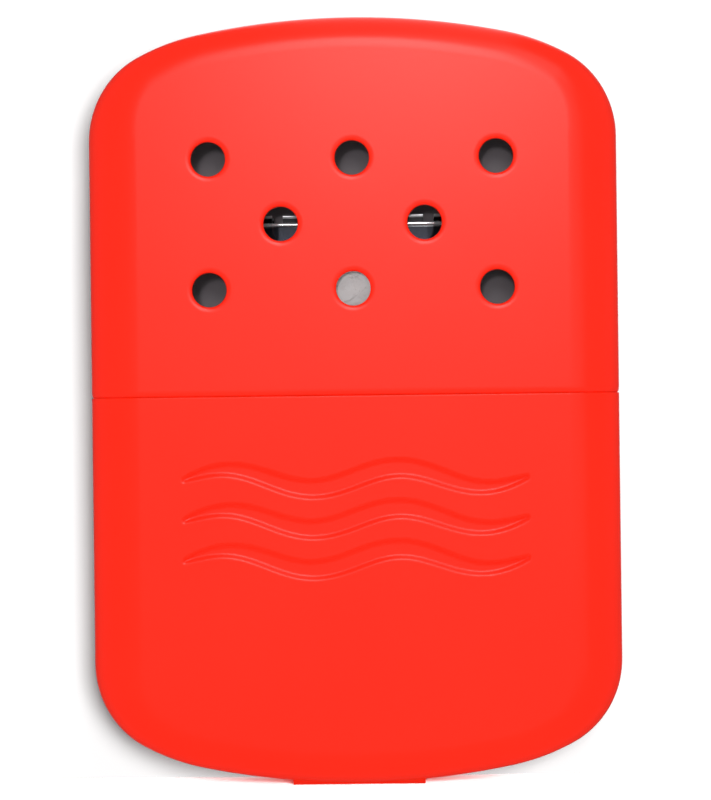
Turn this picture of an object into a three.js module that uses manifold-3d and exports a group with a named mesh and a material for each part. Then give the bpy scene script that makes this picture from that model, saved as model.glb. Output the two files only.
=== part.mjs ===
// A catalytic hand warmer: a flat painted case, its lid lifted off a fuel tank that has a burner on its neck.
// Millimetres, +Z up, the front faces -Y, and the origin is under the middle of the foot pad.
import * as THREE from 'three';
import { mergeVertices } from 'three/addons/utils/BufferGeometryUtils.js';
import Module from 'manifold-3d';

const wasm = await Module();
wasm.setup();

// Case, outside
const caseWidth = 68.5;
const caseHeight = 99.0;
const caseDepth = 12.7;
const caseWall = 0.5;
const crownRadius = 99.3; // the long arc over the top, and the same under the base
const shoulderRadius = 28.6; // between the crown and the corner
const cornerRadius = 12.0;
const shoulderTurn = 0.5025; // radians from straight up, where the shoulder meets the corner
const crownEdgeIn = 3.9; // how far the rounded edge reaches in over the front, at the crown
const crownEdgeDepth = 3.15; // how far back that rounding reaches there
const sideStrip = 0.5; // half the flat left in the middle of the rounded sides

// Foot pad, pressed out under the tank
const padWidth = 16.9;
const padDepth = 7.0;
const padDrop = 0.2; // below the base's lowest point
const padBevel = 0.15;

// Where the lid meets the tank
const splitHeight = 50.2;
const splitGap = 0.3;

// Vent holes in the lid's front, rows of three, two and three
const ventRadius = 2.15;
const ventColumnPitch = 18.5;
const ventRowPitch = 8.4;
const ventTopDrop = 18.3; // from the top of the lid down to the first row
const ventRowCounts = [3, 2, 3];

// Three heat waves pressed into the tank's front
const waveLength = 44.5;
const waveWidth = 2.2;
const waveRise = 1.3; // from the middle line to a crest
const wavePitch = 5.2; // from one wave to the next
const waveDepth = 0.35;
const waveDrop = 15.9; // from the split down to the middle wave
const waveCount = 3;
const waveCrests = 2;

// Insert that closes the tank, its collar gripped by the lid
const fitGap = 0.25; // round the collar, to the lid and to the tank
const insertWall = 0.4;
const insertSkirt = 4.0; // below the split
const collarRise = 5.6; // above the split
const collarBend = 0.9; // outside radius where the collar turns into the plate
const gripRadius = 1.2; // pressed dimples that the lid clicks over
const gripHeight = 0.15;
const gripSpan = 20.0; // from the middle
const gripDrop = 2.6; // below the plate

// Burner housing, an upright oval sleeve
const burnerWidth = 27.0;
const burnerRoom = 1.75; // front and back, to the lid's inside
const burnerHeight = 16.4;
const burnerWall = 0.35;
const burnerSeatGap = 0.3; // from the plate up to the sleeve
const hemHeight = 0.55;
const hemOut = 0.3;
const windowWidth = 20.0;
const windowRise = 5.4; // from the sleeve's lower end
const windowDrop = 3.5; // below the sleeve's upper end
const windowCorner = 1.2;

// Neck of the tank
const neckGap = 0.25; // lip to burner sleeve
const neckRise = 4.3; // above the plate
const neckWall = 0.4;
const lipOut = 0.35;
const lipHeight = 0.8;
const flangeOut = 1.2;
const flangeThick = 0.4;
const seamGap = 0.1; // soldered seam, round the tube and over the flange

// Slotted screen between the neck and the mat
const screenGap = 0.25; // above the lip, and round the edge
const screenThick = 0.4;
const slotWidth = 1.0;
const slotMargin = 1.5; // from the screen's front and back edges
const slotPitch = 2.2;
const slotCount = 9;

// Cage that holds the mat in the burner
const cageGap = 0.25; // to the housing, the screen and the mat
const cageWall = 0.3;
const cageProud = 1.0; // above the hem
const tabSlit = 1.3;
const tabSlitSpan = 9.5; // from the middle
const tabSlitDepth = 3.0;

// Catalyst mat
const matHeight = 8.8;
const matRound = 0.8;

// Wadding in the tank
const cottonGap = 0.3; // between pads, and to the metal round them
const cottonMiddleWidth = 21.0;
const cottonRise = 0.2; // above the split
const throatWidth = 30.0;
const throatRoom = 1.2; // front and back, to the collar's inside

// How finely curves are cut
const crownSteps = 3;
const shoulderSteps = 3;
const cornerSteps = 6;
const edgeSteps = 6;
const ovalSteps = 10; // round each end of an oval
const ventSteps = 24;
const roundSteps = 4;
const waveSteps = 24;
const overrun = 1.0; // how far a cutter passes the face that it cuts

// Levels that several pieces share
const baseHeight = padDrop;
const middleHeight = (baseHeight + caseHeight) / 2;
const plateTop = splitHeight + collarRise;
const collarInset = caseWall + fitGap;
const burnerDepth = caseDepth - 2 * (caseWall + burnerRoom);
const burnerBottom = plateTop + burnerSeatGap;
const burnerTop = burnerBottom + burnerHeight;
const lipTop = plateTop + neckRise;
const screenBottom = lipTop + screenGap;
const cageBottom = screenBottom + screenThick + cageGap;
const cageTop = burnerTop + cageProud;
const matBottom = cageBottom + cageGap;
const flangeTop = plateTop - insertWall - seamGap;
const flangeBottom = flangeTop - flangeThick;
const cottonTop = splitHeight + cottonRise;

// A closed surface over rings of points that stack towards the side from which they run anticlockwise.
// Its ends are capped, or the last ring is joined to the first.
function loft(rings, joined) {
  const count = rings[0].length;
  const points = rings.flat();
  const faces = [];
  const pairs = joined ? rings.length : rings.length - 1;
  for (let k = 0; k < pairs; k += 1) {
    const low = k * count;
    const high = ((k + 1) % rings.length) * count;
    for (let i = 0; i < count; i += 1) {
      const next = (i + 1) % count;
      faces.push(low + i, low + next, high + next);
      faces.push(low + i, high + next, high + i);
    }
  }
  if (!joined) {
    const last = (rings.length - 1) * count;
    const centres = [rings[0], rings[rings.length - 1]].map(centroid);
    const first = points.push(...centres) - centres.length;
    for (let i = 0; i < count; i += 1) {
      const next = (i + 1) % count;
      faces.push(first, next, i);
      faces.push(first + 1, last + i, last + next);
    }
  }
  const geometry = new THREE.BufferGeometry().setFromPoints(points);
  geometry.setIndex(faces);
  return geometry;
}

function centroid(ring) {
  const sum = new THREE.Vector3();
  ring.forEach((point) => sum.add(point));
  return sum.divideScalar(ring.length);
}

// A three.js geometry as a solid that can be joined and cut.
function solid(geometry) {
  geometry.deleteAttribute('normal');
  geometry.deleteAttribute('uv');
  const merged = mergeVertices(geometry);
  return new wasm.Manifold(
    new wasm.Mesh({
      numProp: 3,
      vertProperties: new Float32Array(merged.attributes.position.array),
      triVerts: new Uint32Array(merged.index.array),
    }),
  );
}

// A box between two corners.
function box(low, high) {
  const size = new THREE.Vector3().subVectors(high, low);
  const middle = new THREE.Vector3().addVectors(low, high).divideScalar(2);
  const geometry = new THREE.BoxGeometry(size.x, size.y, size.z);
  return solid(geometry.translate(middle.x, middle.y, middle.z));
}

// The space between two levels, wider than the case.
function slab(low, high) {
  return box(
    new THREE.Vector3(-caseWidth, -caseDepth, low),
    new THREE.Vector3(caseWidth, caseDepth, high),
  );
}

// An outline in X and Z made solid between two depths.
function pressThrough(shape, front, back) {
  const geometry = new THREE.ExtrudeGeometry(shape, { depth: back - front, bevelEnabled: false });
  return solid(geometry.rotateX(Math.PI / 2).translate(0, back, 0));
}

// Case outline, one quarter: from the middle of the crown to where the side runs straight.
// Each station has its place from the case's middle and its outward direction, as an angle from up.
function quarterOutline() {
  const halfWidth = caseWidth / 2;
  const halfHeight = caseHeight - middleHeight;
  const shoulderPart = (shoulderRadius - cornerRadius) * Math.sin(shoulderTurn);
  const crownPart = halfWidth - cornerRadius - shoulderPart;
  const crownTurn = Math.asin(crownPart / (crownRadius - shoulderRadius));
  const crown = { x: 0, z: halfHeight - crownRadius, radius: crownRadius };
  const shoulder = nextArc(crown, shoulderRadius, crownTurn);
  const corner = nextArc(shoulder, cornerRadius, shoulderTurn);
  return [
    ...arcStations(crown, 0, crownTurn, crownSteps),
    ...arcStations(shoulder, crownTurn, shoulderTurn, shoulderSteps),
    ...arcStations(corner, shoulderTurn, Math.PI / 2, cornerSteps),
    station(corner, Math.PI / 2),
  ];
}

// The arc that touches this one inside at the given turn.
function nextArc(arc, radius, turn) {
  const reach = arc.radius - radius;
  return { x: arc.x + reach * Math.sin(turn), z: arc.z + reach * Math.cos(turn), radius };
}

function station(arc, turn) {
  const across = Math.sin(turn);
  const up = Math.cos(turn);
  return { x: arc.x + arc.radius * across, z: arc.z + arc.radius * up, across, up };
}

function arcStations(arc, from, to, steps) {
  return Array.from({ length: steps }, (_, i) => station(arc, from + ((to - from) * i) / steps));
}

// The whole outline, from the middle of the crown over +X, the base and -X.
function caseOutline() {
  const quarter = quarterOutline();
  const flipped = (list, x, z) =>
    list.map((s) => ({ x: s.x * x, z: s.z * z, across: s.across * x, up: s.up * z }));
  const reversed = [...quarter].reverse();
  return [
    ...quarter,
    ...flipped(reversed.slice(0, -1), 1, -1),
    ...flipped(quarter, -1, -1),
    ...flipped(reversed.slice(0, -1), -1, 1),
  ];
}

const outline = caseOutline();

// The case's rounded edge at a station: how far in it reaches, and the strip left flat in the middle.
function edgeAt(across) {
  const side = across * across;
  return {
    reach: THREE.MathUtils.lerp(crownEdgeIn, caseDepth / 2, side),
    strip: THREE.MathUtils.lerp(caseDepth / 2 - crownEdgeDepth, sideStrip, side),
  };
}

// Distance in from the outline, and the depth there, for an angle round the edge from 0 to a quarter turn.
function edgePoint(across, inset, angle) {
  const { reach, strip } = edgeAt(across);
  return {
    inward: inset + (reach - inset) * (1 - Math.cos(angle)),
    depth: strip + (caseDepth / 2 - inset - strip) * Math.sin(angle),
  };
}

const edgeAngles = Array.from({ length: edgeSteps + 1 }, (_, i) => ((Math.PI / 2) * i) / edgeSteps);

// The case as one closed body, drawn in all round by the inset.
function caseBody(inset) {
  const ringAt = (angle, side) =>
    outline.map((s) => {
      const { inward, depth } = edgePoint(s.across, inset, angle);
      return new THREE.Vector3(s.x - inward * s.across, side * depth, middleHeight + s.z - inward * s.up);
    });
  const front = [...edgeAngles].reverse().map((angle) => ringAt(angle, -1));
  const back = edgeAngles.map((angle) => ringAt(angle, 1));
  return solid(loft([...front, ...back], false));
}

// The case's level section between the straight sides, as a ring at a height.
function caseRing(inset, height) {
  const quarter = edgeAngles.map((angle) => {
    const { inward, depth } = edgePoint(1, inset, angle);
    return { x: caseWidth / 2 - inward, y: depth };
  });
  return ringOfQuarter(quarter, height);
}

// An oval ring at a height, grown all round.
function ovalRing(width, depth, grow, height) {
  const radius = depth / 2 + grow;
  const straight = (width - depth) / 2;
  const quarter = Array.from({ length: ovalSteps / 2 + 1 }, (_, i) => {
    const angle = (Math.PI * i) / ovalSteps;
    return { x: straight + radius * Math.cos(angle), y: radius * Math.sin(angle) };
  });
  return ringOfQuarter(quarter, height);
}

// Four quarters, from +X to +Y, mirrored into a ring. The first point is on the X axis or is doubled.
function ringOfQuarter(quarter, height) {
  const onAxis = quarter[0].y === 0;
  const back = [...quarter].reverse();
  const rest = onAxis ? back.slice(0, -1) : back;
  return [
    ...quarter.map((p) => new THREE.Vector3(p.x, p.y, height)),
    ...back.map((p) => new THREE.Vector3(-p.x, p.y, height)),
    ...(onAxis ? quarter.slice(1) : quarter).map((p) => new THREE.Vector3(-p.x, -p.y, height)),
    ...rest.map((p) => new THREE.Vector3(p.x, -p.y, height)),
  ];
}

// A sleeve round an oval: its wall's outline as pairs of growth and height, anticlockwise.
function ovalSleeve(width, depth, profile) {
  return solid(loft(profile.map(([grow, height]) => ovalRing(width, depth, grow, height)), true));
}

// An oval block between levels, its upper and lower edges rounded.
function ovalBlock(width, depth, low, high, round) {
  const rings = roundedLevels(low, high, round).map(([grow, height]) =>
    ovalRing(width, depth, grow, height),
  );
  return solid(loft(rings, false));
}

// Growth and height of a rounded block's rings, from below.
function roundedLevels(low, high, round) {
  const turns = Array.from({ length: roundSteps + 1 }, (_, i) => ((Math.PI / 2) * i) / roundSteps);
  const lower = turns.map((a) => [round * (Math.sin(a) - 1), low + round * (1 - Math.cos(a))]);
  const upper = turns.map((a) => [round * (Math.cos(a) - 1), high - round * (1 - Math.sin(a))]);
  return [...lower, ...upper];
}

// Lid: the upper part of the case with its vents
function makeLid() {
  const shell = caseBody(0).subtract(caseBody(caseWall));
  const upper = shell.intersect(slab(splitHeight + splitGap / 2, caseHeight + overrun));
  return ventPlaces().reduce((lid, place) => lid.subtract(ventCutter(place)), upper);
}

function ventPlaces() {
  return ventRowCounts.flatMap((count, row) =>
    Array.from({ length: count }, (_, i) => ({
      x: (i - (count - 1) / 2) * ventColumnPitch,
      z: caseHeight - ventTopDrop - row * ventRowPitch,
    })),
  );
}

function ventCutter({ x, z }) {
  const depth = caseWall + 2 * overrun;
  const geometry = new THREE.CylinderGeometry(ventRadius, ventRadius, depth, ventSteps);
  return solid(geometry.translate(x, (caseWall - caseDepth) / 2, z));
}

// Tank: the lower part of the case with its foot pad and pressed waves
function makeTank() {
  const inside = caseBody(caseWall);
  const footed = caseBody(0).add(footPad());
  const shell = footed.subtract(inside);
  const lower = shell.intersect(slab(-overrun, splitHeight - splitGap / 2));
  const front = -caseDepth / 2;
  const ridges = waves(front + caseWall, front + caseWall + waveDepth);
  return lower.add(ridges).subtract(waves(front - overrun, front + waveDepth));
}

// The pad reaches up to where the base's curve passes its ends.
function footPad() {
  const rise = crownRadius - Math.sqrt(crownRadius ** 2 - (padWidth / 2) ** 2);
  const ring = (inset, height) => {
    const x = padWidth / 2 - inset;
    const y = padDepth / 2 - inset;
    return [[x, -y], [x, y], [-x, y], [-x, -y]].map((p) => new THREE.Vector3(...p, height));
  };
  const top = padDrop + rise + caseWall / 2;
  return solid(loft([ring(padBevel, 0), ring(0, padBevel), ring(0, top)], false));
}

function waves(front, back) {
  const rows = Array.from({ length: waveCount }, (_, i) => i - (waveCount - 1) / 2);
  const middle = splitHeight - waveDrop;
  return rows
    .map((row) => pressThrough(waveShape(middle + row * wavePitch), front, back))
    .reduce((all, wave) => all.add(wave));
}

// A wavy ribbon that tapers to a point at both ends.
function waveShape(height) {
  const edge = (side) => (share) => {
    const crest = waveRise * Math.sin(2 * Math.PI * waveCrests * share);
    const half = (waveWidth / 2) * Math.sqrt(Math.sin(Math.PI * share));
    return new THREE.Vector2((share - 0.5) * waveLength, height + crest + side * half);
  };
  const shares = Array.from({ length: waveSteps - 1 }, (_, i) => (i + 1) / waveSteps);
  return new THREE.Shape([
    new THREE.Vector2(-waveLength / 2, height),
    ...shares.map(edge(-1)),
    new THREE.Vector2(waveLength / 2, height),
    ...shares.reverse().map(edge(1)),
  ]);
}

// Insert: skirt in the tank, collar in the lid and the top plate with the neck's hole
function makeInsert() {
  const bottom = splitHeight - insertSkirt;
  const shaped = (inset, bend, top, from) => {
    const turns = Array.from({ length: roundSteps + 1 }, (_, i) => ((Math.PI / 2) * i) / roundSteps);
    const bent = turns.map((a) =>
      caseRing(inset + bend * (1 - Math.cos(a)), top - bend * (1 - Math.sin(a))),
    );
    return solid(loft([caseRing(inset, from), ...bent], false));
  };
  const outer = shaped(collarInset, collarBend, plateTop, bottom);
  const inner = shaped(
    collarInset + insertWall,
    collarBend - insertWall,
    plateTop - insertWall,
    bottom - overrun,
  );
  const hole = neckHole(plateTop - insertWall - overrun, plateTop + overrun);
  return outer.subtract(inner).add(gripDimples()).subtract(hole);
}

// Four shallow domes on the collar's flat front and back.
function gripDimples() {
  const face = caseDepth / 2 - collarInset;
  const ball = (gripRadius ** 2 + gripHeight ** 2) / (2 * gripHeight);
  const layer = box(
    new THREE.Vector3(-caseWidth, face - insertWall / 2, splitHeight),
    new THREE.Vector3(caseWidth, face + overrun, plateTop),
  );
  const domes = [-1, 1].map((side) => {
    const geometry = new THREE.SphereGeometry(ball, 8 * roundSteps, 8 * roundSteps);
    const placed = geometry.rotateX(Math.PI / 2);
    return solid(placed.translate(side * gripSpan, face + gripHeight - ball, plateTop - gripDrop));
  });
  const back = domes[0].add(domes[1]).intersect(layer);
  return back.add(back.rotate([0, 0, 180]));
}

// The neck's outer oval, from the burner that slides over its lip.
const neckWidth = burnerWidth - 2 * (burnerWall + neckGap + lipOut);
const neckDepth = burnerDepth - 2 * (burnerWall + neckGap + lipOut);

function neckHole(low, high) {
  return solid(loft([low, high].map((height) => ovalRing(neckWidth, neckDepth, seamGap, height)), false));
}

// Neck: flange under the plate, tube, and a lip rolled outwards
function makeNeck() {
  return ovalSleeve(neckWidth, neckDepth, [
    [flangeOut, flangeBottom],
    [flangeOut, flangeTop],
    [0, flangeTop],
    [0, lipTop - lipHeight],
    [lipOut, lipTop - lipHeight / 2],
    [0, lipTop],
    [-neckWall, lipTop],
    [-neckWall, flangeBottom],
  ]);
}

// Housing: the burner's sleeve with a hem at the top and a window front and back
function makeHousing() {
  const sleeve = ovalSleeve(burnerWidth, burnerDepth, [
    [0, burnerBottom],
    [0, burnerTop - hemHeight],
    [hemOut, burnerTop - hemHeight / 2],
    [0, burnerTop],
    [-burnerWall, burnerTop],
    [-burnerWall, burnerBottom],
  ]);
  return sleeve.subtract(windowCutter());
}

function windowCutter() {
  const low = burnerBottom + windowRise;
  const high = burnerTop - windowDrop;
  const side = windowWidth / 2;
  const quarters = [
    [side - windowCorner, low + windowCorner, -1],
    [side - windowCorner, high - windowCorner, 0],
    [windowCorner - side, high - windowCorner, 1],
    [windowCorner - side, low + windowCorner, 2],
  ];
  const points = quarters.flatMap(([x, z, quarter]) =>
    Array.from({ length: roundSteps + 1 }, (_, i) => {
      const angle = (Math.PI / 2) * (quarter + i / roundSteps);
      return new THREE.Vector2(x + windowCorner * Math.cos(angle), z + windowCorner * Math.sin(angle));
    }),
  );
  return pressThrough(new THREE.Shape(points), -burnerDepth, burnerDepth);
}

// Screen: a plate across the housing over the neck, slotted from front to back
function makeScreen() {
  const grow = -burnerWall - screenGap;
  const rings = [screenBottom, screenBottom + screenThick].map((height) =>
    ovalRing(burnerWidth, burnerDepth, grow, height),
  );
  const reach = burnerDepth / 2 + grow - slotMargin;
  const slots = Array.from({ length: slotCount }, (_, i) => {
    const x = (i - (slotCount - 1) / 2) * slotPitch;
    return box(
      new THREE.Vector3(x - slotWidth / 2, -reach, screenBottom - overrun),
      new THREE.Vector3(x + slotWidth / 2, reach, screenBottom + screenThick + overrun),
    );
  });
  return slots.reduce((plate, slot) => plate.subtract(slot), solid(loft(rings, false)));
}

// Cage: a thin liner in the housing with the same windows, slit at the top into tabs
function makeCage() {
  const outer = -burnerWall - cageGap;
  const inner = outer - cageWall;
  const liner = ovalSleeve(burnerWidth, burnerDepth, [
    [outer, cageBottom],
    [outer, cageTop],
    [inner, cageTop],
    [inner, cageBottom],
  ]);
  const slits = [-1, 1].map((side) =>
    box(
      new THREE.Vector3(side * tabSlitSpan - tabSlit / 2, -burnerDepth, cageTop - tabSlitDepth),
      new THREE.Vector3(side * tabSlitSpan + tabSlit / 2, burnerDepth, cageTop + overrun),
    ),
  );
  return liner.subtract(windowCutter()).subtract(slits[0]).subtract(slits[1]);
}

// Mat: the catalyst block inside the cage
function makeMat() {
  const grow = -burnerWall - 2 * cageGap - cageWall;
  const width = burnerWidth + 2 * grow;
  const depth = burnerDepth + 2 * grow;
  return ovalBlock(width, depth, matBottom, matBottom + matHeight, matRound);
}

// Wadding pads side by side, clear of the insert and of the pressed waves
function makeCottonPads() {
  const inset = collarInset + insertWall + cottonGap;
  const stuffing = caseBody(inset).intersect(slab(0, cottonTop));
  const side = cottonMiddleWidth / 2;
  const between = (low, high) =>
    stuffing.intersect(
      box(new THREE.Vector3(low, -caseDepth, 0), new THREE.Vector3(high, caseDepth, caseHeight)),
    );
  return {
    left: between(-caseWidth, -side - cottonGap),
    middle: between(-side, side),
    right: between(side + cottonGap, caseWidth),
  };
}

// Tuft that leads the vapour up to the neck
function makeThroat() {
  const low = cottonTop + cottonGap;
  const high = flangeBottom - cottonGap;
  const depth = caseDepth - 2 * (collarInset + insertWall + throatRoom);
  return ovalBlock(throatWidth, depth, low, high, (high - low) / 2);
}

// Finishes
const redPaint = new THREE.MeshStandardMaterial({ color: 0xfe3926, roughness: 0.45, metalness: 0.0 });
const bareSteel = new THREE.MeshStandardMaterial({ color: 0xb8b9bb, roughness: 0.35, metalness: 1.0 });
const brightSteel = new THREE.MeshStandardMaterial({ color: 0xd3d4d6, roughness: 0.2, metalness: 1.0 });
const matFibre = new THREE.MeshStandardMaterial({ color: 0xcabfbd, roughness: 0.95, metalness: 0.0 });
const cotton = new THREE.MeshStandardMaterial({ color: 0xf1eee6, roughness: 1.0, metalness: 0.0 });

function piece(name, shape, material) {
  const made = shape.getMesh();
  const geometry = new THREE.BufferGeometry();
  geometry.setAttribute('position', new THREE.BufferAttribute(made.vertProperties, 3));
  geometry.setIndex(new THREE.BufferAttribute(made.triVerts, 1));
  geometry.computeVertexNormals();
  const mesh = new THREE.Mesh(geometry, material);
  mesh.name = name;
  return mesh;
}

// The tank with all that stays on it, the lid and the burner are the three groups that move apart.
const pads = makeCottonPads();
const tank = new THREE.Group().add(
  piece('tank_shell', makeTank(), redPaint),
  piece('tank_insert', makeInsert(), bareSteel),
  piece('filler_neck', makeNeck(), bareSteel),
  piece('cotton_left', pads.left, cotton),
  piece('cotton_middle', pads.middle, cotton),
  piece('cotton_right', pads.right, cotton),
  piece('cotton_throat', makeThroat(), cotton),
);
const burner = new THREE.Group().add(
  piece('burner_housing', makeHousing(), brightSteel),
  piece('burner_screen', makeScreen(), brightSteel),
  piece('catalyst_cage', makeCage(), brightSteel),
  piece('catalyst_mat', makeMat(), matFibre),
);
const lid = new THREE.Group().add(piece('lid_shell', makeLid(), redPaint));

export default new THREE.Group().add(tank, burner, lid);
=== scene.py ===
# %% [markdown]
# # A pocket hand warmer that burns without a flame
# This warmer is a flat painted steel case in two halves. The lower half is a fuel tank filled with
# cotton, the upper half is a lid with eight vents, and between them a bare steel burner sits on the
# tank's neck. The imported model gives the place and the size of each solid, and this file dresses every
# solid in a finer piece. Work in Blender starts by loading that frame, because all else is fitted to it.
# %% The frame and its measures
import math
import random

import bmesh
import bpy
from mathutils import Matrix, Vector, noise


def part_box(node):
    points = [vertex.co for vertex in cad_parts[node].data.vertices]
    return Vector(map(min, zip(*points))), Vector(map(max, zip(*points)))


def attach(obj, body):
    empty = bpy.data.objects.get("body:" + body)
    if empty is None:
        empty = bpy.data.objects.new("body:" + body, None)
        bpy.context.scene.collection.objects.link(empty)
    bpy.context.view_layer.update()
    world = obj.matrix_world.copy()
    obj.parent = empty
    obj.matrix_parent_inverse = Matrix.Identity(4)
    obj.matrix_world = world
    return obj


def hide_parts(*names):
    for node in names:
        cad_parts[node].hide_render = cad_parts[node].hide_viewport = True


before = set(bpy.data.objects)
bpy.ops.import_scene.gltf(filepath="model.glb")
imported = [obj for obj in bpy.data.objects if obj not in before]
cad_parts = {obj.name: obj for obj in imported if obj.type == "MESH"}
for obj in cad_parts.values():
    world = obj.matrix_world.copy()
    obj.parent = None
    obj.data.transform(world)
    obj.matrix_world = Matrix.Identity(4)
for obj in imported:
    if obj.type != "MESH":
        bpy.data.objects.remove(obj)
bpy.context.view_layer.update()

mm = 0.001
quarter_turn = math.pi / 2


def in_mm(*lengths):
    return [round(length / mm, 2) for length in lengths]


# %% [markdown]
# ## Sizes of the case
# The case is drawn from sheet steel. Its outline is a chain of arcs that touch each other: a long flat
# arc over the crown, a tighter one on the shoulder, a small one at the corner, and then a straight
# side. The outline could be traced by hand, but arcs that meet without a kink need only their radii
# and the turns where they meet, so those few numbers are kept and the rest is worked out from them.
# %% Case sizes
lid_low, lid_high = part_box("lid_shell")
tank_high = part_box("tank_shell")[1]
case_half_width = lid_high.x
case_half_depth = lid_high.y
case_wall = 0.5 * mm
base_height = 0.2 * mm  # the base's lowest point, over the foot pad's flat
middle_height = (base_height + lid_high.z) / 2
half_height = lid_high.z - middle_height

crown_radius = 99.3 * mm
shoulder_radius = 28.6 * mm
corner_radius = 12.0 * mm
shoulder_turn = 0.5025  # radians from straight up, where the shoulder meets the corner
shoulder_part = (shoulder_radius - corner_radius) * math.sin(shoulder_turn)
crown_part = case_half_width - corner_radius - shoulder_part
crown_turn = math.asin(crown_part / (crown_radius - shoulder_radius))
outline_arcs = [  # radius, turn and steps
    (crown_radius, crown_turn, 24),
    (shoulder_radius, shoulder_turn - crown_turn, 14),
    (corner_radius, quarter_turn - shoulder_turn, 18),
]
crown_edge_in = 3.9 * mm  # how far the rounded edge reaches over the front at the crown
crown_edge_depth = 3.15 * mm  # how far back it reaches there
side_strip = 0.5 * mm  # half the flat in the middle of the rounded sides
edge_steps = 12
face_margin = 0.3 * mm  # a narrow flat ring that keeps the front's shading level
print("case, mm:", in_mm(2 * case_half_width, 2 * case_half_depth, 2 * half_height))

# %% [markdown]
# ## One half of the case as a sheet
# On a press the half is drawn from one flat sheet, so it is modelled as a sheet too. A single vertex at
# the crown is spun round each arc's centre in turn, the side is drawn straight down from the last one,
# and a mirror gives the other half of the arch. Each vertex keeps its place on the outline and its
# outward direction in two vertex layers, which the next step needs.
# %% What an operator gives back
def verts_of(geometry):
    return [part for part in geometry if isinstance(part, bmesh.types.BMVert)]


def edges_of(geometry):
    return [part for part in geometry if isinstance(part, bmesh.types.BMEdge)]


def faces_of(geometry):
    return [part for part in geometry if isinstance(part, bmesh.types.BMFace)]


# %% Layers, arcs and mirrored copies
merge_distance = 1e-6  # metres, far below anything that is modelled
fine_distance = 1e-7  # for what a cut or a Boolean leaves in one place


def place_layers(sheet):
    """The layers for a vertex's place and its outward direction, made when they are first asked for."""
    layers = sheet.verts.layers.float_vector
    return [layers.get(name) or layers.new(name) for name in ("base", "outward")]


def spin_vert(sheet, vert, centre, axis, angle, steps):
    """Draws an arc from a vertex round a centre, and gives the arc's last vertex."""
    spun = bmesh.ops.spin(
        sheet, geom=[vert], cent=centre, axis=axis, dvec=(0, 0, 0), angle=angle, steps=steps
    )
    return verts_of(spun["geom_last"])[0]


def double_over(sheet, axis, geometry=None, merge=0):
    """Adds a mirrored copy of the geometry, or of all there is, and joins what meets within the merge."""
    geometry = geometry or sheet.verts[:] + sheet.edges[:]
    bmesh.ops.mirror(sheet, geom=geometry, matrix=Matrix.Identity(4), merge_dist=merge, axis=axis)


# %% An arch of vertices
def case_arch(side_end):
    """The outline over one half of the case, with its layers for place and outward direction."""
    sheet = bmesh.new()
    base, outward = place_layers(sheet)
    last = sheet.verts.new((0, 0, half_height))
    last[outward] = (0, 0, 1)
    for radius, turn, steps in outline_arcs:
        centre = last.co - last[outward] * radius
        known = set(sheet.verts)
        last = spin_vert(sheet, last, centre, (0, 1, 0), turn, steps)
        for vert in set(sheet.verts) - known:
            vert[outward] = (vert.co - centre) / radius
    foot = verts_of(bmesh.ops.extrude_vert_indiv(sheet, verts=[last])["verts"])[0]
    foot.co.z = side_end
    foot[outward] = (1, 0, 0)
    double_over(sheet, "X", merge=merge_distance)
    for vert in sheet.verts:
        vert[base] = vert.co
        vert[outward] = (math.copysign(vert[outward].x, vert.co.x), 0, vert[outward].z)
    return sheet


arch_test = case_arch(0.0)
print("arch:", len(arch_test.verts), "vertices")
arch_test.free()

# %% [markdown]
# ## The rounded edge
# On the real case the front turns into the side in one round pull of the sheet, wide at the sides and
# narrower over the crown. A bevel of the outline would keep one radius, and a scaled profile would pinch
# at the corners. So the arch is extruded ring by ring, and each ring is placed from the layers: the
# outward direction says how much of the side's width and how much of the crown's a vertex gets.
# %% Points of the rounded edge
def lerp(low, high, share):
    return low + (high - low) * share


def edge_point(base, outward, angle, side, margin):
    """A point of the rounded edge: angle 0 lies on the outline, a quarter turn where the face begins."""
    share = outward.x ** 2
    reach = lerp(crown_edge_in, case_half_depth, share)
    strip = lerp(case_half_depth - crown_edge_depth, side_strip, share)
    inward = reach * (1 - math.cos(angle)) + margin
    depth = strip + (case_half_depth - strip) * math.sin(angle)
    return base - outward * inward + Vector((0, side * depth, 0))


# %% Extruding the rounded edge
def extrude_ring(sheet, ring):
    """Extrudes a ring of edges where it lies, and gives the new vertices and the new ring."""
    grown = bmesh.ops.extrude_edge_only(sheet, edges=ring)["geom"]
    verts = verts_of(grown)
    fresh = set(verts)
    return verts, [edge for edge in edges_of(grown) if set(edge.verts) <= fresh]


def round_over(sheet):
    """Extrudes the arch into the rounded edge, from the front's margin to the back's."""
    base, outward = place_layers(sheet)
    angles = [quarter_turn * step / edge_steps for step in range(edge_steps + 1)]
    stations = [(quarter_turn, -1, face_margin)]
    stations += [(angle, -1, 0) for angle in reversed(angles)]
    stations += [(angle, 1, 0) for angle in angles]
    stations += [(quarter_turn, 1, face_margin)]
    verts, front_ring = sheet.verts[:], sheet.edges[:]
    ring = front_ring
    for number, (angle, side, margin) in enumerate(stations):
        if number:
            verts, ring = extrude_ring(sheet, ring)
        for vert in verts:
            vert.co = edge_point(vert[base], vert[outward], angle, side, margin)
    return front_ring, ring


print("rounded edge at the crown and at the sides, mm:", in_mm(crown_edge_in, case_half_depth))

# %% [markdown]
# ## The flat faces, with what is pressed or punched in them
# The front of the lid is punched and the front of the tank is pressed, and the rest of both faces is
# flat. A flat face needs no grid of its own. An edge closes its ring at the split, and a triangle fill
# spans the ring and leaves open what other rings inside it surround: a vent's rim, or the border of the
# fine patch that holds the pressed waves.
# %% Filling a face round its openings
def closing_edge(sheet, ring):
    """Joins the two loose ends of a ring of edges with one more edge."""
    ends = [vert for edge in ring for vert in edge.verts if sum(e in ring for e in vert.link_edges) == 1]
    return sheet.edges.new(ends)


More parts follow.
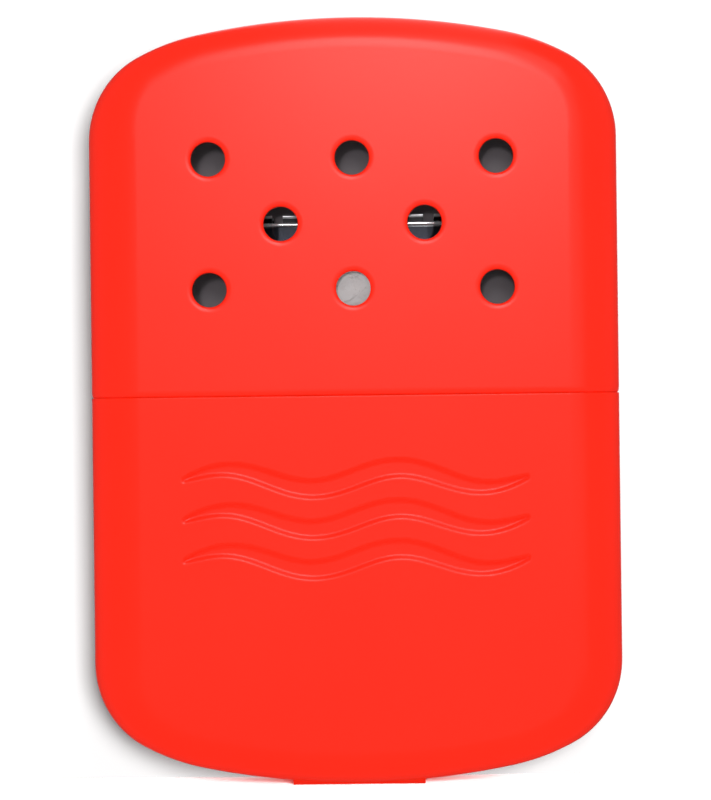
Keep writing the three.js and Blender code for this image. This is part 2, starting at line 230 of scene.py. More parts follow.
def fill_between(sheet, edges):
    """Spans the outermost ring with triangles, and leaves open what the rings inside it surround."""
    bmesh.ops.triangle_fill(sheet, edges=edges, use_beauty=True, use_dissolve=False)


def fill_face(sheet, ring, inner_edges=()):
    fill_between(sheet, [*ring, closing_edge(sheet, ring), *inner_edges])


# %% A round dimple
dimple_segments = 48


def edges_at(verts):
    """The edges at some vertices, each of them once and always in the same order."""
    return list(dict.fromkeys(edge for vert in verts for edge in vert.link_edges))


def dimple(sheet, centre, radius, rings):
    """A round rim in the front, and rings about it. Each is how far it is past the rim, and how deep the
    one before it lies."""
    place = Matrix.Translation(centre) @ Matrix.Rotation(quarter_turn, 4, "X")
    circle = bmesh.ops.create_circle(
        sheet, cap_ends=False, radius=radius, segments=dimple_segments, matrix=place
    )
    verts, reached = circle["verts"], radius
    ring = edges_at(verts)
    for width, depth in rings:
        fresh, ring = extrude_ring(sheet, ring)
        growth = Vector((1, 1, 1)) * (radius + width) / reached
        bmesh.ops.scale(sheet, verts=fresh, vec=growth, space=Matrix.Translation(-centre))
        for vert in verts:
            vert.co.y = centre.y + depth
        verts, reached = fresh, radius + width
    return ring


# %% Turning a sheet's faces outward
def merge_doubles(sheet, distance=merge_distance):
    bmesh.ops.remove_doubles(sheet, verts=sheet.verts[:], dist=distance)


def turn_outward(sheet):
    bmesh.ops.recalc_face_normals(sheet, faces=sheet.faces[:])


def face_outward(sheet, way=bmesh.types.BMFace.calc_center_median):
    """Merges doubles, and turns an open sheet's faces away from the case's middle or another way."""
    merge_doubles(sheet)
    turn_outward(sheet)
    if sum(face.normal.dot(way(face)) * face.calc_area() for face in sheet.faces) < 0:
        bmesh.ops.reverse_faces(sheet, faces=sheet.faces[:])


# %% [markdown]
# ## A wall with rolled rims
# The sheet is half a millimetre thick, and wherever it was cut or rolled its edge is round. Solidify and
# Bevel modifiers could do both at the end, but a bevel by angle would treat the vents and the split alike.
# Here the wall is grown inward in the bmesh, where the new faces are known, and the two edges of each rim
# are then rounded, each kind of rim with radii of its own.
# %% Wall thickness and rolled rims
def round_edges(sheet, edges, offset, segments, clamp=True):
    bmesh.ops.bevel(
        sheet, geom=edges, offset=offset, offset_type="OFFSET", segments=segments, profile=0.5,
        affect="EDGES", material=-1, clamp_overlap=clamp,
    )


def thicken(sheet, wall, roundings):
    """Gives an open sheet a wall on its inner side. Inner faces get material 1.

    Each rounding is a test for a rim's edges, the radius outside, the radius inside and the segments.
    """
    outer = set(sheet.faces)
    inner = set(faces_of(bmesh.ops.solidify(sheet, geom=sheet.faces[:], thickness=wall)["geom"]))
    merge_doubles(sheet)
    for face in sheet.faces:
        face.material_index = int(face in inner)
    for belongs, outer_round, inner_round, segments in roundings:
        for kept, other, offset in ((outer, inner, outer_round), (inner, outer, inner_round)):
            rims = [
                edge for edge in sheet.edges
                if len(edge.link_faces) == 2 and sum(face in kept for face in edge.link_faces) == 1
                and not any(face in other for face in edge.link_faces) and belongs(edge)
            ]
            round_edges(sheet, rims, offset, segments, clamp=False)


def any_edge(edge):
    return True


def open_edges(sheet):
    return [edge for edge in sheet.edges if len(edge.link_faces) == 1]


# %% [markdown]
# ## Keeping a finished piece
# A finished bmesh becomes an object at the origin. It is shaded smooth, with weighted normals, so that
# large flat faces look flat beside their round edges. It rides on its body and gets its finishes, and the
# solid that it stands for is hidden. The number of edges that don't lie between two faces is printed,
# because it shows at once whether a piece is closed.
# %% Keeping a finished piece
def mesh_of(sheet, name):
    """Turns a finished bmesh into a mesh."""
    mesh = bpy.data.meshes.new(name)
    sheet.to_mesh(mesh)
    sheet.free()
    return mesh


def put_in_scene(name, data):
    thing = bpy.data.objects.new(name, data)
    bpy.context.scene.collection.objects.link(thing)
    return thing


def weigh_normals(piece):
    modifier = piece.modifiers.new("Weighted normals", "WEIGHTED_NORMAL")
    modifier.weight = 100
    modifier.keep_sharp = False


def unshared_edges(mesh):
    """How many edges don't lie between just two faces."""
    uses = [0] * len(mesh.edges)
    for loop in mesh.loops:
        uses[loop.edge_index] += 1
    return sum(count != 2 for count in uses)


# %% A piece with its body, finishes and hidden nodes
def keep(sheet, name, body, finishes, replaced=(), weighted=True):
    """Turns a finished bmesh into an object that rides on its body and stands for its CAD nodes."""
    mesh = mesh_of(sheet, name)
    for finish in finishes:
        mesh.materials.append(finish)
    mesh.shade_smooth()
    piece = put_in_scene(name, mesh)
    if weighted:
        weigh_normals(piece)
    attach(piece, body)
    if replaced:
        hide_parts(*replaced)
    print(name, "faces:", len(mesh.polygons), "edges not shared by two faces:", unshared_edges(mesh))
    return piece


# %% [markdown]
# ## Finishes
# The warmer has three kinds of surface: sprayed paint, steel and fibre. Pictures could be laid over them,
# but none has a pattern that has to be drawn. Each finish is one Principled shader, whose colour wanders
# a little with noise and whose grain is a fine bump. The noise reads Object coordinates, so it needs no
# UV map and stays in place when a piece moves.
# %% Node helpers
def set_inputs(tree, node, inputs):
    """Gives each input of a node its value, or a link where the value is another node's output."""
    for name, value in inputs.items():
        if isinstance(value, bpy.types.NodeSocket):
            tree.links.new(value, node.inputs[name])
        else:
            node.inputs[name].default_value = value


def add_node(tree, kind, inputs):
    node = tree.nodes.new(kind)
    set_inputs(tree, node, inputs)
    return node


def add_math(tree, operation, *terms):
    node = tree.nodes.new("ShaderNodeMath")
    node.operation = operation
    set_inputs(tree, node, dict(enumerate(terms)))
    return node.outputs[0]


def new_finish(name):
    finish = bpy.data.materials.new(name)
    finish.use_nodes = True
    return finish, finish.node_tree, finish.node_tree.nodes["Principled BSDF"]


# %% Colours, noise, ramps and grain
def linear(red, green, blue):
    """A screen colour from 0 to 255 as the linear values that a shader works in."""
    def one(value):
        value /= 255
        return value / 12.92 if value <= 0.04045 else ((value + 0.055) / 1.055) ** 2.4
    return one(red), one(green), one(blue), 1.0


def object_place(tree):
    return tree.nodes.new("ShaderNodeTexCoord").outputs["Object"]


def noise_of(tree, place, scale, detail):
    texture = add_node(tree, "ShaderNodeTexNoise", {"Vector": place, "Scale": scale, "Detail": detail})
    return texture.outputs["Fac"]


def ramp_of(tree, value, stops):
    """A colour ramp over a value. Each stop is a position and a colour, and they go from 0 to 1."""
    ramp = add_node(tree, "ShaderNodeValToRGB", {"Fac": value})
    elements = ramp.color_ramp.elements
    for position, _ in stops[1:-1]:
        elements.new(position)
    for element, (_, colour) in zip(elements, stops):
        element.color = colour
    return ramp.outputs["Color"]


def add_grain(tree, shader, place, scale, detail, strength, distance):
    height = noise_of(tree, place, scale, detail)
    bump = add_node(tree, "ShaderNodeBump", {"Height": height, "Strength": strength, "Distance": distance})
    tree.links.new(bump.outputs["Normal"], shader.inputs["Normal"])


# %% A finish with cloud and grain
def grainy_finish(name, low, high, cloud, grain, values):
    """A finish whose colour wanders between two shades, with a fine bump and values for the shader.

    The cloud is the noise's scale and detail, the grain a scale, a detail, a strength and a distance.
    """
    finish, tree, shader = new_finish(name)
    place = object_place(tree)
    colour = ramp_of(tree, noise_of(tree, place, *cloud), [(0, low), (1, high)])
    set_inputs(tree, shader, {"Base Color": colour, **values})
    add_grain(tree, shader, place, *grain)
    return finish


# %% [markdown]
# ## Red paint
# The case is sprayed with a satin enamel, an orange red with hardly any green or blue of its own. Layers of
# coat could be stacked for it, but one layer with a low specular level gives the same even sheen. Both
# halves have the same paint, but the lid's copy gets a touch more gloss than the tank's. That is a painted
# sheen, which stands in for the paler light over the lid.
# %% Red paint
paint_shades = (0.99, 0.0135, 0.001, 1), (1, 0.0175, 0.0028, 1)
paint_cloud = (60, 4)
paint_grain = (2600, 2, 0.08, 0.06 * mm)
paint_roughness = 0.28


def make_red_paint(name, gloss):
    values = {"Roughness": paint_roughness, "Specular IOR Level": gloss}
    return grainy_finish(name, *paint_shades, paint_cloud, paint_grain, values)


tank_paint = make_red_paint("red_paint_tank", gloss=0.23)
# painted sheen: the lid's copy of the paint has more gloss, so that the lid looks paler, as the light over it
# does
lid_paint_sheened = make_red_paint("red_paint_lid_sheened", gloss=0.27)
print("paints:", tank_paint.name, lid_paint_sheened.name)

# %% [markdown]
# ## Steels
# The insert, the neck and the screen are bare sheet steel, and the shells are raw and dull on the inside.
# Pure metal would show only what it reflects, and a little less than pure also shows its own dull film.
# One function makes them all. The burner's steel takes a heat tint that darkens it towards the catalyst.
# Just under its rolled rims it is painted near black as painted shade, where the lid's vents shade it, and
# the rims themselves stay bright. That follows the height of a point, so a colour ramp reads the height,
# with a little noise that keeps its bands from being ruled.
# %% Plain steels
steel_metallic = 0.78  # the rest is a dull film, which shows where the steel reflects something dark
steel_cloud = (220, 6)
steel_grain = (1500, 3, 0.1, 0.05 * mm)


def make_steel(name, low, high, roughness, metallic=steel_metallic):
    values = {"Metallic": metallic, "Roughness": roughness}
    return grainy_finish(name, low, high, steel_cloud, steel_grain, values)


raw_steel = make_steel("raw_steel", linear(136, 127, 132), linear(158, 149, 154), 0.5, metallic=0.35)
bare_steel = make_steel("bare_steel", linear(190, 190, 193), linear(212, 212, 214), 0.3)
bright_steel = make_steel("bright_steel", linear(188, 190, 196), linear(214, 215, 220), 0.16)
print("steels:", raw_steel.name, bare_steel.name, bright_steel.name)

# %% Steel with a heat tint and painted shade, by height
tint_and_shade_cloud = (260, 5)
heated_grain = (1500, 3, 0.08, 0.05 * mm)


# the stops can hold a heat tint and also painted shade, such as a dark band just under a rim
def make_tinted_shaded_steel(name, stops, wander, roughness):
    """Steel whose colour changes with its height. Each stop is a height and a linear colour.

    The wander is how far noise shifts the height that the colour is read at.
    """
    finish, tree, shader = new_finish(name)
    place = object_place(tree)
    height = add_node(tree, "ShaderNodeSeparateXYZ", {"Vector": place}).outputs["Z"]
    felt_height = add_math(tree, "MULTIPLY_ADD", noise_of(tree, place, *tint_and_shade_cloud), wander, height)
    low, high = stops[0][0], stops[-1][0]
    share = add_node(tree, "ShaderNodeMapRange", {
        "Value": felt_height, "From Min": low + wander / 2, "From Max": high + wander / 2,
    })
    shares = [((stop_height - low) / (high - low), colour) for stop_height, colour in stops]
    colour = ramp_of(tree, share.outputs["Result"], shares)
    set_inputs(tree, shader, {"Base Color": colour, "Metallic": steel_metallic, "Roughness": roughness})
    add_grain(tree, shader, place, *heated_grain)
    return finish


# %% [markdown]
# ## The lid
# The lid is the upper half of the case. Its front is punched with eight vents in rows of three, two and
# three, each in a shallow dimple that the punch draws in, and its lower edge is rolled in a little, so
# that it slides over the collar. A Boolean could cut the vents, but the dimples would then need a mesh
# round each hole. A circle that is extruded outward gives the rim, the dimple and the border that the
# fill stops at, all at once.
# %% Vents
vent_radius = 2.15 * mm
vent_column_pitch = 18.5 * mm
vent_row_pitch = 8.4 * mm
vent_top_drop = 18.3 * mm
vent_rows = (3, 2, 3)
vent_rings = [  # how far each ring is past the rim, and how deep the one before it lies
    (0.42 * mm, 0.1 * mm), (0.6 * mm, 0.035 * mm), (0.8 * mm, 0.009 * mm)
]


def vent_centres():
    for row, count in enumerate(vent_rows):
        for column in range(count):
            yield Vector((
                (column - (count - 1) / 2) * vent_column_pitch,
                -case_half_depth,
                half_height - vent_top_drop - row * vent_row_pitch,
            ))


print("vents, mm from the middle and the crown:", [
    in_mm(centre.x, half_height - centre.z) for centre in vent_centres()
])

# %% The lid's rolled-in edge
lip_drop = 0.95 * mm
lip_tuck = 0.13 * mm
lip_shares = (0.25, 0.45, 0.65)  # of the drop, and then the whole
split_close = 0.147 * mm  # how far each rim is rolled into the gap between the solids
lip_lean = 0.045 * mm  # what the turned-in lip lifts off its lowest point when it gets its wall
lid_side_end = lid_low.z - split_close - lip_lean + lip_drop - middle_height


def tuck_lip(sheet):
    """Extrudes the sheet's lower edge down in steps that turn inward along each vertex's own normal."""
    outward = place_layers(sheet)[1]
    ends = [
        edge for edge in open_edges(sheet)
        if all(abs(vert.co.z - lid_side_end) < merge_distance for vert in edge.verts)
    ]
    for vert in {vert for edge in ends for vert in edge.verts}:
        vert[outward] = Vector((vert.normal.x, vert.normal.y, 0)).normalized()
    tucked = dropped = 0.0
    for share in (*lip_shares, 1):
        tuck, drop = lip_tuck * share * share, lip_drop * share
        fresh, ends = extrude_ring(sheet, ends)
        for vert in fresh:
            vert.co -= vert[outward] * (tuck - tucked) + Vector((0, 0, drop - dropped))
        tucked, dropped = tuck, drop


def at_lip(edge):
    return edge.verts[0].co.z < lid_side_end


def at_vent(edge):
    return edge.verts[0].co.z > lid_side_end


# %% Lid shell
split_rim = (0.2 * mm, 0.1 * mm, 4)  # radius outside, radius inside, segments
vent_rim = (0.38 * mm, 0.06 * mm, 6)
lid = case_arch(lid_side_end)
front_ring, back_ring = round_over(lid)
vent_borders = [edge for centre in vent_centres() for edge in dimple(lid, centre, vent_radius, vent_rings)]
fill_face(lid, front_ring, vent_borders)
fill_face(lid, back_ring)
face_outward(lid)
tuck_lip(lid)
face_outward(lid)
thicken(lid, case_wall, [(at_lip, *split_rim), (at_vent, *vent_rim)])
bmesh.ops.translate(lid, verts=lid.verts[:], vec=(0, 0, middle_height))
keep(lid, "lid_shell_drawn", "lid", [lid_paint_sheened, raw_steel], ["lid_shell"])

# %% [markdown]
# ## The tank
# The tank is drawn like the lid, and its front is pressed between two dies that leave three shallow
# waves. The waves could be a bump in the material, but such a bump stays flat from the side and isn't in
# the exported mesh. So a fine grid is set in the front, its vertices are pushed in along the waves, and
# the rest of the face stays a few large triangles. The same arch is used, turned upside down.
# %% How deep the waves are
wave_length = 44.5 * mm
wave_width = 2.2 * mm
wave_rise = 1.3 * mm
wave_pitch = 5.2 * mm
wave_depth = 0.35 * mm
wave_middle = 34.3 * mm
wave_count = 3
wave_crests = 2
wave_edge = 0.5 * mm  # the width of the groove's slopes


def groove_depth(across, height):
    """How deep the pressed waves are at a point of the front."""
    share = across / wave_length + 0.5
    if not 0 < share < 1:
        return 0.0
    turn = 2 * math.pi * wave_crests
    slope = wave_rise * turn / wave_length * math.cos(turn * share)
    level = math.cos(math.atan(slope))
    half = wave_width / 2 * math.sqrt(math.sin(math.pi * share))
    deepest = 0.0
    for row in range(wave_count):
        middle = wave_middle + (row - (wave_count - 1) / 2) * wave_pitch
        away = abs(height - middle - wave_rise * math.sin(turn * share)) * level - half
        share_in = min(max(0.5 - away / wave_edge, 0), 1)
        deepest = max(deepest, wave_depth * share_in * share_in * (3 - 2 * share_in))
    return deepest


first_crest = groove_depth(-wave_length * 3 / 8, wave_middle + wave_rise)
print("wave depth at its first crest, mm:", in_mm(first_crest))

# %% The patch that holds the waves
patch_width, patch_height, patch_cell = 47.0 * mm, 16.4 * mm, 0.2 * mm


def wave_patch(sheet):
    """A fine grid in the tank's front, pressed in along the waves. Its border edges are returned."""
    centre = Vector((0, -case_half_depth, wave_middle - middle_height))
    place = (
        Matrix.Translation(centre) @ Matrix.Rotation(quarter_turn, 4, "X")
        @ Matrix.Diagonal((patch_width / 2, patch_height / 2, 1, 1))
    )
    columns, rows = round(patch_width / patch_cell), round(patch_height / patch_cell)
    grid = bmesh.ops.create_grid(sheet, x_segments=columns, y_segments=rows, size=1, matrix=place)["verts"]
    fresh = set(grid)
    border = [edge for edge in open_edges(sheet) if set(edge.verts) <= fresh]
    for vert in grid:
        vert.co.y += groove_depth(vert.co.x, vert.co.z + middle_height)
    return border


# %% [markdown]
# ## The foot pad
# The base is a curve, and the warmer stands on a small flat pad pressed out under it. The pad could be a
# thin box laid under the base, but then it would be a lump and no part of the sheet. Four pairs of planes
# cut the pad's border into the faces of the base, the inner ones bound the flat and the outer ones the
# foot of its slope, and what lies inside is moved down to the flat.
# %% Pressing the pad
pad_half_width = 8.45 * mm
pad_half_depth = 3.5 * mm
pad_slope = 0.12 * mm
pad_round = 0.06 * mm
pad_room = 2 * mm  # how far past the pad, and how high up, the faces are taken for cutting


def in_pad(face):
    middle = face.calc_center_median()
    return abs(middle.x) < pad_half_width and abs(middle.y) < pad_half_depth


def near_pad(face):
    """Whether a face is painted, looks down and lies near the pad."""
    middle = face.calc_center_median()
    low = face.normal.z < -0.5 and middle.z < -middle_height + pad_room
    return low and abs(middle.x) < pad_half_width + pad_room and face.material_index == 0


def press_foot_pad(sheet):
    """Cuts the pad's border into the base's outer face and moves what is inside it down to a flat."""
    bottom = -middle_height
    near = [face for face in sheet.faces if near_pad(face)]
    for way, half in ((Vector((1, 0, 0)), pad_half_width), (Vector((0, 1, 0)), pad_half_depth)):
        for reach in (half, half + pad_slope):
            for side in (-1, 1):
                geometry = dict.fromkeys(part for face in near for part in (face, *face.edges, *face.verts))
                cut = bmesh.ops.bisect_plane(
                    sheet, geom=list(geometry), dist=fine_distance, plane_co=way * reach * side, plane_no=way
                )
                near = faces_of(cut["geom"])
    pad = [face for face in near if in_pad(face)]
    for vert in {vert for face in pad for vert in face.verts}:
        vert.co.z = bottom
    edges = dict.fromkeys(edge for face in pad for edge in face.edges)
    rim = [edge for edge in edges if sum(face in pad for face in edge.link_faces) == 1]
    round_edges(sheet, rim, pad_round, segments=2)
    for vert in sheet.verts:
        vert.co.z = max(vert.co.z, bottom)


# %% Tank shell
tank = case_arch(middle_height - tank_high.z - split_close)
front_ring, back_ring = round_over(tank)
for vert in tank.verts:
    vert.co.z = -vert.co.z
fill_face(tank, front_ring, wave_patch(tank))
fill_face(tank, back_ring)
face_outward(tank)
thicken(tank, case_wall, [(any_edge, *split_rim)])
press_foot_pad(tank)
bmesh.ops.translate(tank, verts=tank.verts[:], vec=(0, 0, middle_height))
keep(tank, "tank_shell_drawn", "tank", [tank_paint, raw_steel], ["tank_shell"])

# %% [markdown]
# ## The insert
# The tank is closed by a drawn cap. Its skirt is pressed into the tank, its collar stands up for the lid
# to grip, and its top plate carries the neck. It could be a rounded box with a hole cut in it. Here the
# case's level section is drawn once, extruded upwards, bent over into the plate by the same kind of
# steps as on the real press, and the plate is filled round the hole. The four dimples that the lid
# clicks over are flat domes joined on.
# %% Level sections of the case
insert_low, insert_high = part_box("tank_insert")
collar_inset = case_half_width - insert_high.x
insert_wall = 0.4 * mm
collar_bend = 0.9 * mm
section_steps = 14


def loose_ends(verts):
    return [vert for vert in verts if len(vert.link_edges) == 1]


def section_ring(sheet, height):
    """The case's level section between its straight sides, drawn at full size, with its layers."""
    base, outward = place_layers(sheet)
    centre = Vector((case_half_width - case_half_depth, side_strip, height))
    first = sheet.verts.new(centre + Vector((1, 0, 0)))
    spin_vert(sheet, first, centre, (0, 0, 1), quarter_turn, section_steps)
    reach = Vector((case_half_depth, case_half_depth - side_strip, 0))
    for vert in sheet.verts:
        vert[outward] = vert.co - centre
        vert.co = centre + vert[outward] * reach
    double_over(sheet, "X")
    sheet.edges.new([vert for vert in loose_ends(sheet.verts) if vert.co.y > side_strip * 2])
    double_over(sheet, "Y")
    for side in (-1, 1):
        sheet.edges.new([vert for vert in loose_ends(sheet.verts) if vert.co.x * side > 0])
    for vert in sheet.verts:
        way = vert[outward]
        vert[outward] = (math.copysign(way.x, vert.co.x), math.copysign(way.y, vert.co.y), 0)
        vert[base] = vert.co
    return sheet.verts[:], sheet.edges[:]


# %% Growing a ring
def grow_ring(sheet, ring, inset, height):
    """Extrudes a ring to a new inset and height, and gives the new ring."""
    base, outward = place_layers(sheet)
    fresh, ring = extrude_ring(sheet, ring)
    for vert in fresh:
        vert.co = vert[base] - vert[outward] * inset
        vert.co.z = height
    return ring


# %% [markdown]
# ## Ovals and sleeves
# The neck, the housing, the cage, the screen and its slots are all ovals: two half circles joined by
# straight sides. A scaled cylinder would give an ellipse. Here one end is spun, mirrored and joined on. A
# sleeve is that ring extruded round the section of its own wall, up the outside, over the rim and down
# the inside, till it meets its start and is merged with it.
# %% Ovals
oval_steps = 28


def add_oval(sheet, width, depth, height):
    """A closed oval ring: one end spun round its centre, mirrored, and joined by straight sides."""
    base, outward = place_layers(sheet)
    known = set(sheet.verts)
    radius, centre = depth / 2, Vector(((width - depth) / 2, 0, height))
    first = sheet.verts.new(centre - Vector((0, radius, 0)))
    spin_vert(sheet, first, centre, (0, 0, 1), math.pi, oval_steps)
    half = [vert for vert in sheet.verts if vert not in known]
    for vert in half:
        vert[outward] = (vert.co - centre) / radius
    double_over(sheet, "X", half + edges_at(half))
    verts = [vert for vert in sheet.verts if vert not in known]
    for vert in verts:
        way = vert[outward]
        vert[outward] = (math.copysign(way.x, vert.co.x), way.y, 0)
        vert[base] = vert.co
    for side in (-1, 1):
        sheet.edges.new([vert for vert in loose_ends(verts) if vert.co.y * side > 0])
    return edges_at(verts)


# %% Sleeves
def oval_sleeve(width, depth, profile):
    """A closed wall round an oval. The profile gives growth and height round the wall's section."""
    sheet = bmesh.new()
    ring = add_oval(sheet, width, depth, 0)
    base, outward = place_layers(sheet)
    for vert in sheet.verts:
        vert.co = vert[base] + vert[outward] * profile[0][0]
        vert.co.z = profile[0][1]
    for growth, height in profile[1:] + profile[:1]:
        ring = grow_ring(sheet, ring, -growth, height)
    merge_doubles(sheet)
    turn_outward(sheet)
    return sheet


def rolled(low, high, out, steps=8):
    """Profile stations round a rolled edge that stands out of a wall between two heights."""
    middle, half = (low + high) / 2, (high - low) / 2
    angles = [math.pi * step / steps - quarter_turn for step in range(steps + 1)]
    return [(out * math.cos(angle), middle + half * math.sin(angle)) for angle in angles]


def rolled_wall(place, wall, low, high, roll_height, roll_out):
    """The profile of a straight wall whose outer face is at the place, with a roll round its upper rim."""
    roll = [(place + out, height) for out, height in rolled(high - roll_height, high, roll_out)]
    return [(place, low), *roll, (place - wall, high), (place - wall, low)]


def soften(sheet, offset, segments=2, least=math.radians(40)):
    """Rounds every edge that turns by more than the least angle."""
    sharp = [edge for edge in sheet.edges if len(edge.link_faces) == 2 and edge.calc_face_angle() > least]
    round_edges(sheet, sharp, offset, segments)


# %% [markdown]
# ## Joining and cutting
# Domes stand on the collar, and windows go through the burner's walls. Neither follows edges that are
# there already, so extruding and insetting don't help. An exact Boolean joins or cuts whole closed solids
# whatever their faces are. The modifier's result is read once and goes back into a bmesh, so that no live
# Boolean, and none of its tools, is left in the scene.
# %% Joining and cutting
def take_result(objects):
    """A bmesh of the first object as its modifiers leave it. All the objects are removed."""
    graph = bpy.context.evaluated_depsgraph_get()
    made = bpy.data.meshes.new_from_object(objects[0].evaluated_get(graph))
    result = bmesh.new()
    result.from_mesh(made)
    meshes = [thing.data for thing in objects] + [made]
    for thing in objects:
        bpy.data.objects.remove(thing)
    for mesh in meshes:
        bpy.data.meshes.remove(mesh)
    return result


def combine(sheet, tools, operation):
    """Joins a bmesh with others, or cuts it by them, through an exact Boolean, and gives a new bmesh."""
    objects = [put_in_scene("part", mesh_of(part, "part")) for part in [sheet] + tools]
    for tool in objects[1:]:
        modifier = objects[0].modifiers.new("combine", "BOOLEAN")
        modifier.operation = operation
        modifier.solver = "EXACT"
        modifier.object = tool
    result = take_result(objects)
    merge_doubles(result, fine_distance)
    return result


# %% A dome and a block
def dome(centre, radius, height):
    """A flat round swelling that lies half in the face that it stands on."""
    part = bmesh.new()
    stretch = Matrix.Diagonal((radius, height, radius, 1))
    place = Matrix.Translation(centre) @ stretch @ Matrix.Rotation(quarter_turn, 4, "X")
    bmesh.ops.create_uvsphere(part, u_segments=32, v_segments=16, radius=1, matrix=place)
    turn_outward(part)
    return part


def block(low, high, corner=0.0):
    """A box from corner to corner. Its edges from front to back are rounded by the corner."""
    part = bmesh.new()
    low, high = Vector(low), Vector(high)
    place = Matrix.Translation((low + high) / 2) @ Matrix.Diagonal((*(high - low), 1))
    bmesh.ops.create_cube(part, size=1, matrix=place)
    if corner:
        along = [edge for edge in part.edges if abs(edge.verts[0].co.y - edge.verts[1].co.y) > merge_distance]
        round_edges(part, along, corner, segments=8)
    turn_outward(part)
    return part


# %% [markdown]
# ## Putting the insert together
# The insert's plate has to leave a hole for the neck, and the neck has to fit inside the burner, so the
# burner's outer size comes first, and the neck and the hole follow from it, wall by wall and gap by gap.
# %% Sizes of the burner and the neck
burner_low, burner_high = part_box("burner_housing")
neck_low, neck_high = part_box("filler_neck")
plate_top = insert_high.z
hem_out = 0.3 * mm
burner_width = 2 * (burner_high.x - hem_out)
burner_depth = 2 * (burner_high.y - hem_out)
burner_wall = 0.35 * mm
neck_gap = 0.25 * mm
lip_out = 0.35 * mm
neck_width = burner_width - 2 * (burner_wall + neck_gap + lip_out)
neck_depth = burner_depth - 2 * (burner_wall + neck_gap + lip_out)
seam_gap = 0.1 * mm
print("burner, mm:", in_mm(burner_width, burner_depth), "neck, mm:", in_mm(neck_width, neck_depth))

# %% Insert
bend_steps = 6
insert_rim = (0.1 * mm, 0.1 * mm, 2)  # radius outside, radius inside, segments
grip_radius, grip_rise = 1.2 * mm, 0.15 * mm
grip_across, grip_drop = 20 * mm, 2.6 * mm  # from the middle, and under the plate


def upward(face):
    return Vector((0, 0, 1))


insert = bmesh.new()
ring_verts, ring = section_ring(insert, insert_low.z)
outward = place_layers(insert)[1]
for vert in ring_verts:
    vert.co -= vert[outward] * collar_inset
for step in range(bend_steps + 1):
    angle = quarter_turn * step / bend_steps
    ring = grow_ring(
        insert, ring, collar_inset + collar_bend * (1 - math.cos(angle)),
        plate_top - collar_bend * (1 - math.sin(angle)),
    )
ring = grow_ring(insert, ring, collar_inset + collar_bend + face_margin, plate_top)
hole = add_oval(insert, neck_width + 2 * seam_gap, neck_depth + 2 * seam_gap, plate_top)
fill_between(insert, ring + hole)
face_outward(insert, upward)
thicken(insert, insert_wall, [(any_edge, *insert_rim)])
grips = [
    dome(Vector((side * grip_across, face * (case_half_depth - collar_inset), plate_top - grip_drop)),
         grip_radius, grip_rise)
    for side in (-1, 1) for face in (-1, 1)
]
insert = combine(insert, grips, "UNION")
keep(insert, "tank_insert_drawn", "tank", [bare_steel, bare_steel], ["tank_insert"])

# %% [markdown]
# ## The neck
# The neck is a drawn oval tube. A flange holds it against the plate, and its lip is rolled outward, so
# that the burner snaps over it. It could be turned on a lathe only if it were round, so it is a sleeve,
# whose section has the flange, the straight wall and the roll of the lip.
# %% Neck
neck_wall = 0.4 * mm
lip_height = 0.8 * mm
flange_out = 1.2 * mm
flange_thick = 0.4 * mm
lip_top = neck_high.z
neck_profile = [
    (flange_out, neck_low.z),
    (flange_out, neck_low.z + flange_thick),
    (0, neck_low.z + flange_thick),
    *rolled(lip_top - lip_height, lip_top, lip_out),
    (-neck_wall, lip_top),
    (-neck_wall, neck_low.z),
]
neck = oval_sleeve(neck_width, neck_depth, neck_profile)
soften(neck, offset=0.08 * mm)
keep(neck, "filler_neck_rolled", "tank", [bare_steel], ["filler_neck"])

# %% [markdown]
# ## The burner's housing
# The housing is a thin sleeve with a window in front and at the back, and a hem is rolled over its upper
# rim, which makes the bright line behind the middle vents. Its sides could be built face by face round
# the windows. It is quicker to make it whole and to cut both windows with one rounded block, much as one
# stroke of a punch does.
# %% The windows' cutter
window_half_width = 10 * mm
window_low = burner_low.z + 5.4 * mm
window_high = burner_high.z - 3.5 * mm
window_corner = 1.2 * mm


def window_cutter():
    return block(
        (-window_half_width, -burner_depth, window_low), (window_half_width, burner_depth, window_high),
        window_corner,
    )


# %% Housing
hem_height = 0.55 * mm
hem_low = burner_high.z - hem_height
housing_profile = rolled_wall(0, burner_wall, burner_low.z, burner_high.z, hem_height, hem_out)
housing = combine(oval_sleeve(burner_width, burner_depth, housing_profile), [window_cutter()], "DIFFERENCE")
soften(housing, offset=0.07 * mm)
# The stops darken towards the hem. The straw and purple tints lower down stand for heat, and the near black
# just under the hem is painted shade, where the lid's vents shade the housing.
housing_steel_shaded = make_tinted_shaded_steel("housing_steel_shaded", [
    (burner_low.z, linear(196, 198, 202)),
    (burner_low.z + 4 * mm, linear(176, 166, 142)),
    (window_low + 1.5 * mm, linear(96, 84, 98)),
    (hem_low - 1.5 * mm, linear(50, 52, 62)),
    (hem_low - 0.1 * mm, linear(40, 41, 48)),
    (hem_low + 0.12 * mm, linear(222, 223, 227)),
    (burner_high.z, linear(232, 232, 235)),
], wander=0.5 * mm, roughness=0.18)
keep(housing, "burner_housing_sleeve", "burner", [housing_steel_shaded], ["burner_housing"])

